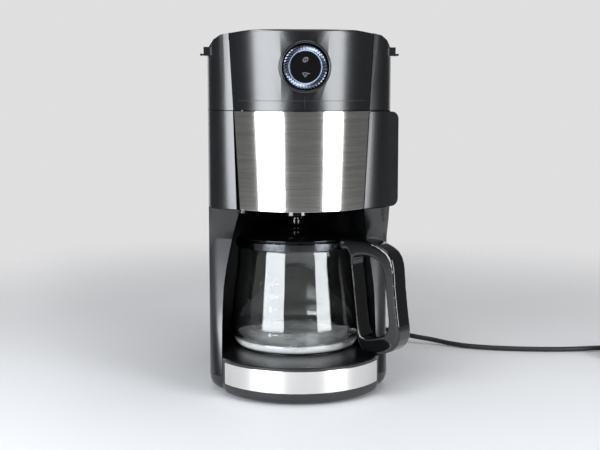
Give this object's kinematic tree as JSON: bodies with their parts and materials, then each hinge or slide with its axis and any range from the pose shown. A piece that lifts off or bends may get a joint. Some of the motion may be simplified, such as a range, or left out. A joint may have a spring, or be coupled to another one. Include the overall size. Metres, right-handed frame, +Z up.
{
  "type": "grind and brew coffee maker",
  "caption": "Free-standing filter coffee maker with a built-in burr grinder, steel swing-out filter door, glass carafe on a warming base and a turning dial.",
  "frame": {"origin": "on the worktop under the middle of the machine's box, measured without the mains lead", "axes": "+Z up, -Y towards the user at the front, +X to the user's right"},
  "size_m": [0.6541, 0.3527, 0.4015],
  "materials": {
    "black_housing": "satin",
    "gloss_black": "gloss",
    "brushed_steel": "horizontal brushing",
    "bright_steel": "polished",
    "pin_steel": "plain",
    "heater_metal": "cast",
    "motor_metal": "satin",
    "burr_steel": "ground",
    "brass_gear": "plain",
    "warming_plate": "satin non-stick coat",
    "carafe_glass": "clear",
    "smoked_plastic": "translucent",
    "circuit_board": "printed board",
    "ring_light": "lit ring",
    "silicone": "silicone",
    "black_rubber": "matt",
    "rubber_feet": "matt"
  },
  "bodies": {
    "machine": {"base_shell": "black_housing", "base_trim_band": "brushed_steel", "base_bottom_plate": "black_housing", "foot_front_left": "rubber_feet", "foot_front_right": "rubber_feet", "foot_rear_left": "rubber_feet", "foot_rear_right": "rubber_feet", "warming_plate": "warming_plate", "flow_heater": "heater_metal", "plate_thermostat": "pin_steel", "column_left": "black_housing", "column_right": "black_housing", "cavity_liner": "gloss_black", "side_panel_left": "black_housing", "side_panel_right": "black_housing", "upper_housing": "black_housing", "control_panel": "black_housing", "dial_bezel": "gloss_black", "light_ring": "ring_light", "display_board": "circuit_board", "power_board": "circuit_board", "lid_hinge_pin": "pin_steel", "bean_hopper": "smoked_plastic", "tank_seat": "black_housing", "rear_cover": "black_housing", "grinder_motor": "motor_metal", "upper_burr": "burr_steel", "grinder_housing": "black_housing", "coffee_chute": "black_housing", "inlet_hose": "silicone", "riser_tube": "silicone", "shower_head": "black_housing", "cord_strain_relief": "black_rubber", "cord_lead": "black_rubber", "cord_coil": "black_rubber", "cord_tie": "black_rubber", "power_plug": "black_rubber"},
    "door": {"door_skin": "brushed_steel", "door_frame": "black_housing", "door_grip": "black_housing", "door_hinge_pin": "pin_steel", "filter_carrier": "gloss_black", "filter_basket": "smoked_plastic", "drip_spring": "pin_steel"},
    "drip_valve": {"drip_valve": "gloss_black"},
    "dial": {"rotary_dial": "bright_steel"},
    "display_button": {"display_button": "gloss_black"},
    "hopper_lid": {"hopper_lid": "black_housing"},
    "tank": {"water_tank": "smoked_plastic", "tank_valve": "silicone"},
    "tank_lid": {"tank_lid": "black_housing"},
    "grinding_gear": {"burr_gear": "brass_gear", "lower_burr": "burr_steel"},
    "motor_rotor": {"motor_pinion": "brass_gear"},
    "carafe": {"carafe_glass": "carafe_glass", "carafe_collar": "bright_steel", "carafe_handle": "gloss_black", "carafe_lid": "gloss_black"}
  },
  "joints": [
    {"name": "filter_door_swing", "type": "hinge", "parent": "machine", "child": "door", "pos_m": [-0.06873, -0.09445, 0.26], "axis": [0, 0, -1], "range_deg": [0, 90]},
    {"name": "drip_valve_lift", "type": "slide", "parent": "door", "child": "drip_valve", "axis": [0, 0, 1], "range_m": [0, 0.002], "stiffness_N_per_m": 300, "springref_m": -0.002, "deforming": ["drip_spring"]},
    {"name": "dial_turn", "type": "hinge", "parent": "machine", "child": "dial", "pos_m": [-0.00523, -0.13065, 0.3582], "axis": [0, -1, 0], "continuous": true},
    {"name": "display_button_press", "type": "slide", "parent": "machine", "child": "display_button", "axis": [0, 1, 0], "range_m": [0, 0.0012], "stiffness_N_per_m": 800, "springref_m": -0.001},
    {"name": "hopper_lid_hinge", "type": "hinge", "parent": "machine", "child": "hopper_lid", "pos_m": [-0.00523, 0.02335, 0.3993], "axis": [-1, 0, 0], "range_deg": [0, 95]},
    {"name": "tank_lift", "type": "slide", "parent": "machine", "child": "tank", "axis": [0, 0, 1], "range_m": [0, 0.21]},
    {"name": "tank_lid_hinge", "type": "hinge", "parent": "tank", "child": "tank_lid", "pos_m": [-0.00523, 0.13475, 0.394], "axis": [-1, 0, 0], "range_deg": [0, 95]},
    {"name": "burr_spin", "type": "hinge", "parent": "machine", "child": "grinding_gear", "pos_m": [0.01477, 0.00135, 0.32], "axis": [0, 0, 1], "continuous": true},
    {"name": "motor_spin", "type": "hinge", "parent": "machine", "child": "motor_rotor", "pos_m": [0.01477, 0.0507, 0.32], "axis": [0, 0, 1], "continuous": true},
    {"name": "carafe_slide", "type": "slide", "parent": "machine", "child": "carafe", "axis": [0, -1, 0], "range_m": [0, 0.25]}
  ],
  "couplings": [
    {"joint": "motor_spin", "follows": "burr_spin", "ratio": -6}
  ]
}
